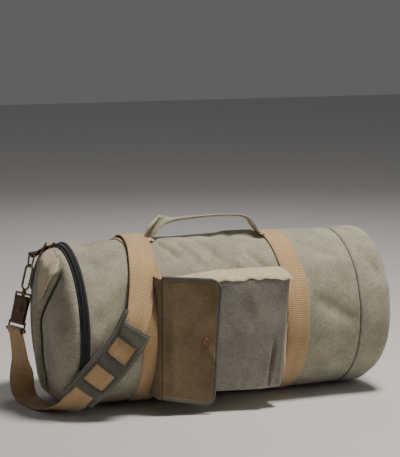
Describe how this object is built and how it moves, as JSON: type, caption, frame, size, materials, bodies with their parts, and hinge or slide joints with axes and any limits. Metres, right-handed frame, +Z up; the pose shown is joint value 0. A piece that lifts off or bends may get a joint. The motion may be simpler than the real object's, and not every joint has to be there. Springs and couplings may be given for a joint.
{
  "type": "duffel bag",
  "caption": "Cylindrical canvas duffel bag with a round zipped end, flap pocket on the front, top carry handle, webbing bands and a clip-on padded shoulder strap.",
  "frame": {"origin": "on the floor under the barrel's axis, at the middle of the bag's length", "axes": "+X along the barrel from the zipped end to the sewn base, -Y towards the pocket, +Z up"},
  "size_m": [0.7546, 0.3454, 0.337],
  "materials": {
    "canvas": "washed plain weave canvas",
    "pocket_canvas": "grey plain weave canvas",
    "cream_canvas": "unbleached cotton canvas",
    "khaki_canvas": "waxed khaki-brown canvas",
    "pad_canvas": "grey canvas, edge stitched",
    "webbing": "ribbed cotton webbing",
    "zip_tape": "charcoal woven tape",
    "zip_teeth": "nylon coil",
    "leather": "dark reddish-brown, semi-matte",
    "snap_brown": "brown lacquered cap",
    "brass": "antique, brushed"
  },
  "bodies": {
    "bag": {"body_tube": "canvas", "base_sleeve": "canvas", "base_panel": "canvas", "end_panel": "canvas", "zip_tape_body": "zip_tape", "zip_teeth_body": "zip_teeth", "band_left": "webbing", "band_right": "webbing", "band_rivets": "brass", "handle_tabs": "cream_canvas", "pocket_front": "pocket_canvas", "pocket_gusset": "cream_canvas", "snap_stud": "brass", "shoulder_strap": "webbing", "shoulder_pad": "pad_canvas", "front_anchor_tab": "leather", "front_tab_rivets": "brass", "front_strap_loop": "brass", "front_chape": "leather", "front_chape_rivet": "brass", "front_buckle": "brass", "rear_anchor_tab": "leather", "rear_tab_rivets": "brass", "rear_strap_loop": "brass", "rear_chape": "leather", "rear_chape_rivet": "brass", "rear_buckle": "brass"},
    "lid": {"end_lid": "canvas", "lid_facing": "cream_canvas", "zip_tape_lid": "zip_tape", "zip_teeth_lid": "zip_teeth"},
    "zip_slider": {"zip_slider": "brass"},
    "zip_pull": {"zip_pull": "leather"},
    "handle": {"handle_top": "canvas", "handle_lining": "cream_canvas"},
    "flap": {"pocket_flap": "khaki_canvas", "flap_binding": "pocket_canvas", "snap_cap": "snap_brown"},
    "front_ring": {"front_d_ring": "brass"},
    "front_hook": {"front_snap_hook": "brass"},
    "front_gate": {"front_hook_gate": "brass"},
    "front_roller": {"front_buckle_roller": "brass"},
    "rear_ring": {"rear_d_ring": "brass"},
    "rear_hook": {"rear_snap_hook": "brass"},
    "rear_gate": {"rear_hook_gate": "brass"},
    "rear_roller": {"rear_buckle_roller": "brass"}
  },
  "joints": [
    {"name": "lid_hinge", "type": "hinge", "parent": "bag", "child": "lid", "pos_m": [-0.336, 0.044, 0.147], "axis": [0, 0, -1], "range_deg": [0, 76]},
    {"name": "zip_run", "type": "hinge", "parent": "bag", "child": "zip_slider", "pos_m": [-0.296, 0, 0.147], "axis": [1, 0, 0], "range_deg": [0, 112]},
    {"name": "pull_swing", "type": "hinge", "parent": "zip_slider", "child": "zip_pull", "pos_m": [-0.306, 0.05, 0.2865], "axis": [0, 1, 0], "range_deg": [0, 45]},
    {"name": "flap_hinge", "type": "hinge", "parent": "bag", "child": "flap", "pos_m": [-0.157, -0.1555, 0.13], "axis": [0, 0, -1], "range_deg": [0, 115]},
    {"name": "handle_swing", "type": "hinge", "parent": "bag", "child": "handle", "pos_m": [-0.02, 0, 0.3035], "axis": [1, 0, 0], "range_deg": [-50, 50]},
    {"name": "front_ring_swing", "type": "hinge", "parent": "bag", "child": "front_ring", "pos_m": [-0.329, 0.082, 0.265], "axis": [0, 1, 0], "range_deg": [-3, 3]},
    {"name": "front_hook_turn", "type": "hinge", "parent": "bag", "child": "front_hook", "pos_m": [-0.3458, 0.0777, 0.19784], "axis": [0.259, 0.0943, 0.9613], "range_deg": [-12, 12]},
    {"name": "front_gate_spring", "type": "hinge", "parent": "front_hook", "child": "front_gate", "pos_m": [-0.33542, 0.08148, 0.20913], "axis": [0.342, -0.9397, 0], "range_deg": [0, 16], "stiffness_Nm_per_rad": 0.002},
    {"name": "front_roller_turn", "type": "hinge", "parent": "bag", "child": "front_roller", "pos_m": [-0.36445, 0.07091, 0.12863], "axis": [-0.342, 0.9397, 0], "continuous": true},
    {"name": "rear_ring_swing", "type": "hinge", "parent": "bag", "child": "rear_ring", "pos_m": [0.329, 0.082, 0.265], "axis": [0, 1, 0], "range_deg": [-3, 3]},
    {"name": "rear_hook_turn", "type": "hinge", "parent": "bag", "child": "rear_hook", "pos_m": [0.3458, 0.0777, 0.19784], "axis": [-0.259, 0.0943, 0.9613], "range_deg": [-12, 12]},
    {"name": "rear_gate_spring", "type": "hinge", "parent": "rear_hook", "child": "rear_gate", "pos_m": [0.33542, 0.08148, 0.20913], "axis": [0.342, 0.9397, 0], "range_deg": [0, 16], "stiffness_Nm_per_rad": 0.002},
    {"name": "rear_roller_turn", "type": "hinge", "parent": "bag", "child": "rear_roller", "pos_m": [0.36445, 0.07091, 0.12863], "axis": [0.342, 0.9397, 0], "continuous": true}
  ]
}
